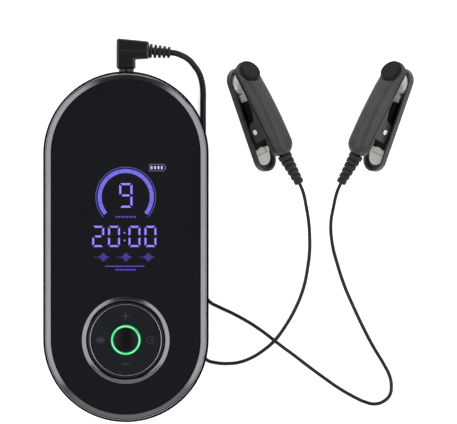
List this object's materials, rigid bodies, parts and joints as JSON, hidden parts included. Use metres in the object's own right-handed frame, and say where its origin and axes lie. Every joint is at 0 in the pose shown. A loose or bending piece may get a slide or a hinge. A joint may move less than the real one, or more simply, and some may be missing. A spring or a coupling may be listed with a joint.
{
  "type": "ear clip electrotherapy stimulator",
  "caption": "Flat stadium-shaped handset with a segment display and a round pad, a jack plug lead that parts in two, and sprung ear clip electrodes.",
  "frame": {"origin": "centre of the handset's base, on the surface that it lies on", "axes": "+Z out of the handset's face, +Y along the handset towards its jack, +X across it towards the ear clips"},
  "size_m": [0.1256, 0.1299, 0.0166],
  "materials": {
    "shell_black": "gloss moulded black",
    "bezel_grey": "gloss gunmetal lacquer",
    "glass_black": "gloss, black back print",
    "display": "gloss, lit segments",
    "tape": "adhesive film",
    "flex_copper": "polyimide film",
    "glow_green": "translucent, lit green",
    "board_green": "solder mask",
    "chip_black": "moulded matte",
    "steel": "nickel plated",
    "battery_foil": "foil pouch",
    "wire_red": "insulated wire",
    "contact_gold": "gold flash",
    "pad_rubber": "matte silicone",
    "pad_black": "satin black",
    "plug_black": "soft-touch moulding",
    "cord_black": "extruded jacket",
    "boot_rubber": "matte ribbed",
    "clip_plastic": "fine satin spark texture",
    "electrode_metal": "polished steel",
    "clip_steel": "bright steel"
  },
  "bodies": {
    "handset": {"base_pad": "pad_rubber", "case_screws": "steel", "rear_shell": "shell_black", "front_frame": "bezel_grey", "front_panel": "glass_black", "panel_tape": "tape", "display_module": "display", "display_flex": "flex_copper", "pad_ring": "bezel_grey", "light_guide": "glow_green", "main_board": "board_green", "board_screws": "steel", "dome_switches": "steel", "board_chips": "chip_black", "step_up_inductor": "chip_black", "ring_leds": "glow_green", "buzzer": "chip_black", "battery_cell": "battery_foil", "battery_tape": "tape", "battery_leads": "wire_red", "jack_socket": "chip_black", "jack_contacts": "contact_gold", "charging_socket": "steel"},
    "power_button": {"power_button": "pad_black"},
    "pad_rocker": {"pad_rocker": "pad_rubber"},
    "direction_pad": {"direction_pad": "pad_black"},
    "lead": {"plug_body": "plug_black", "plug_sleeve": "contact_gold", "plug_ring": "contact_gold", "plug_tip": "contact_gold", "plug_insulators": "plug_black", "plug_boot": "plug_black", "y_split": "plug_black", "lead_trunk": "cord_black", "lead_left": "cord_black", "lead_right": "cord_black", "left_front_cover": "clip_plastic", "left_front_jaw": "clip_plastic", "left_head_cap": "clip_plastic", "left_front_electrode": "electrode_metal", "left_pivot_pin": "clip_steel", "left_spring": "clip_steel", "left_lead_boot": "boot_rubber", "right_front_cover": "clip_plastic", "right_front_jaw": "clip_plastic", "right_head_cap": "clip_plastic", "right_front_electrode": "electrode_metal", "right_pivot_pin": "clip_steel", "right_spring": "clip_steel", "right_lead_boot": "boot_rubber"},
    "left_rear_arm": {"left_rear_jaw": "clip_plastic", "left_rear_electrode": "electrode_metal", "left_contact_strip": "clip_steel", "left_tail_plate": "clip_steel"},
    "right_rear_arm": {"right_rear_jaw": "clip_plastic", "right_rear_electrode": "electrode_metal", "right_contact_strip": "clip_steel", "right_tail_plate": "clip_steel"}
  },
  "joints": [
    {"name": "power_press", "type": "slide", "parent": "handset", "child": "power_button", "axis": [0, 0, -1], "range_m": [0, 0.0004], "stiffness_N_per_m": 2500, "springref_m": -0.0002},
    {"name": "pad_tilt_up_down", "type": "hinge", "parent": "handset", "child": "pad_rocker", "pos_m": [0, -0.0315, 0.0115], "axis": [1, 0, 0], "range_deg": [-1.5, 1.5], "stiffness_Nm_per_rad": 0.7},
    {"name": "pad_tilt_left_right", "type": "hinge", "parent": "pad_rocker", "child": "direction_pad", "pos_m": [0, -0.0315, 0.0115], "axis": [0, 1, 0], "range_deg": [-1.5, 1.5], "stiffness_Nm_per_rad": 0.7},
    {"name": "plug_slide", "type": "slide", "parent": "handset", "child": "lead", "axis": [0, 1, 0], "range_m": [0, 0.0155]},
    {"name": "left_clip_open", "type": "hinge", "parent": "lead", "child": "left_rear_arm", "pos_m": [0.0457, 0.0397, 0.00775], "axis": [-0.6662, -0.3293, 0.6691], "range_deg": [0, 22], "stiffness_Nm_per_rad": 0.015, "springref_deg": -34.38},
    {"name": "right_clip_open", "type": "hinge", "parent": "lead", "child": "right_rear_arm", "pos_m": [0.0859, 0.0397, 0.00775], "axis": [-0.6662, 0.3293, -0.6691], "range_deg": [0, 22], "stiffness_Nm_per_rad": 0.015, "springref_deg": -34.38}
  ]
}
